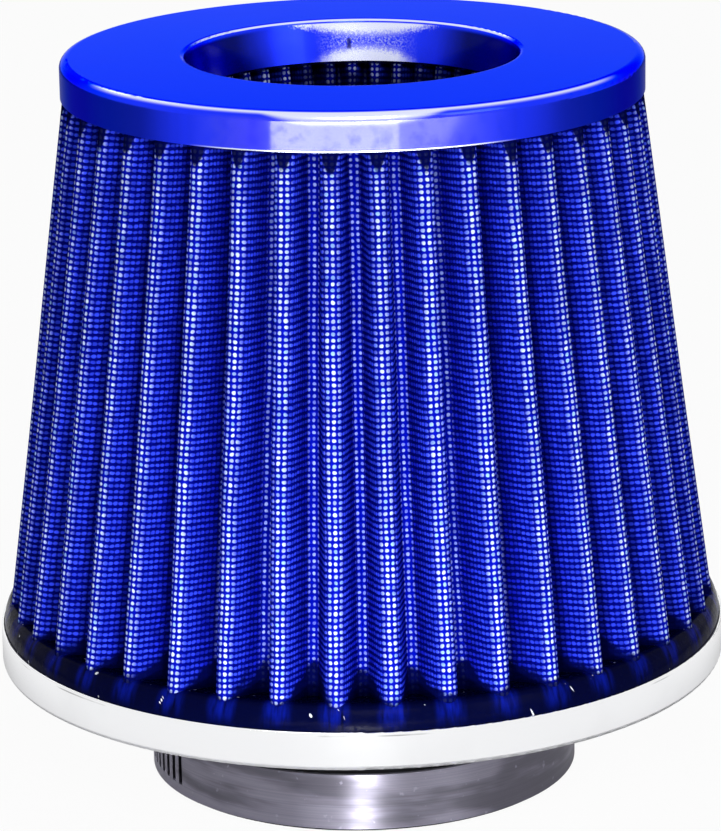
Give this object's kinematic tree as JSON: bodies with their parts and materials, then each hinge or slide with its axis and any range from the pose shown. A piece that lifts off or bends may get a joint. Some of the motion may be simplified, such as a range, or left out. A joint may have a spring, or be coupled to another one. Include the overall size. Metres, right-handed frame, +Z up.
{
  "type": "cone air filter",
  "caption": "Open-topped cone air filter with pleated gauze elements, a pressed top cap, a bright base pan and a rubber inlet neck held by a worm-drive hose clamp.",
  "frame": {"origin": "on the filter's axis at the open end of the inlet neck, where it stands", "axes": "+Z up along the axis from the neck to the top cap, -Y towards the front of the picture"},
  "size_m": [0.155, 0.155, 0.156],
  "materials": {
    "blue_metal": "gloss metallic lacquer",
    "dark_resin": "glossy cast resin",
    "pleated_gauze": "wire gauze over pale cloth",
    "black_plastic": "moulded",
    "chromed_steel": "bright plated",
    "black_rubber": "moulded",
    "clamp_steel": "rolled stainless strip",
    "screw_steel": "zinc plated"
  },
  "bodies": {
    "filter": {"top_cap": "blue_metal", "top_potting": "dark_resin", "outer_element": "pleated_gauze", "inner_element": "pleated_gauze", "nose_cap": "black_plastic", "nose_potting": "dark_resin", "base_pan": "chromed_steel", "base_potting": "dark_resin", "neck_sleeve": "black_rubber", "clamp_band": "clamp_steel", "clamp_housing": "clamp_steel"},
    "screw": {"clamp_screw": "screw_steel"}
  },
  "joints": [
    {"name": "clamp_screw_turn", "type": "hinge", "parent": "filter", "child": "screw", "pos_m": [-0.03567, 0.03567, 0.0068], "axis": [0.7071, 0.7071, 0], "continuous": true}
  ]
}
